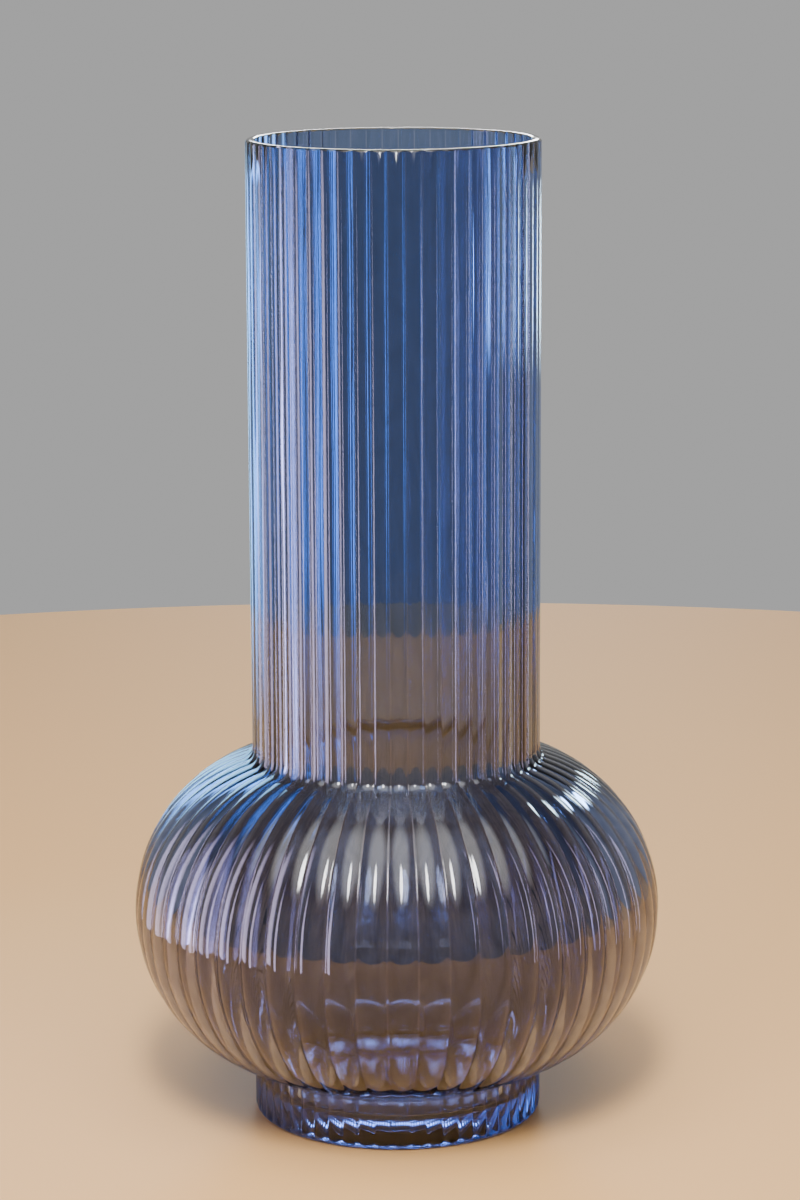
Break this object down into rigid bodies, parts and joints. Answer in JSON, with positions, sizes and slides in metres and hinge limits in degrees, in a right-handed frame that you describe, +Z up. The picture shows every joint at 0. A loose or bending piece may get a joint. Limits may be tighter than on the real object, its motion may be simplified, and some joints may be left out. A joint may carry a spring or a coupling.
{
  "type": "reeded glass vase",
  "caption": "Free-standing blue glass vase: a wide straight neck over a squashed round bulb on a short foot, reeded from rim to foot.",
  "frame": {"origin": "centre of the ring that the vase stands on, at the height of the table", "axes": "+Z up along the axis of the vase and out of its mouth; the crest of one reed lies on +X"},
  "size_m": [0.1612, 0.161, 0.3],
  "materials": {
    "blue_glass": "clear, dusty denim-blue blown glass, fire-polished and smooth, see-through"
  },
  "bodies": {
    "root": {"rim": "blue_glass", "neck": "blue_glass", "shoulder": "blue_glass", "belly": "blue_glass", "foot": "blue_glass", "floor": "blue_glass"}
  },
  "joints": []
}
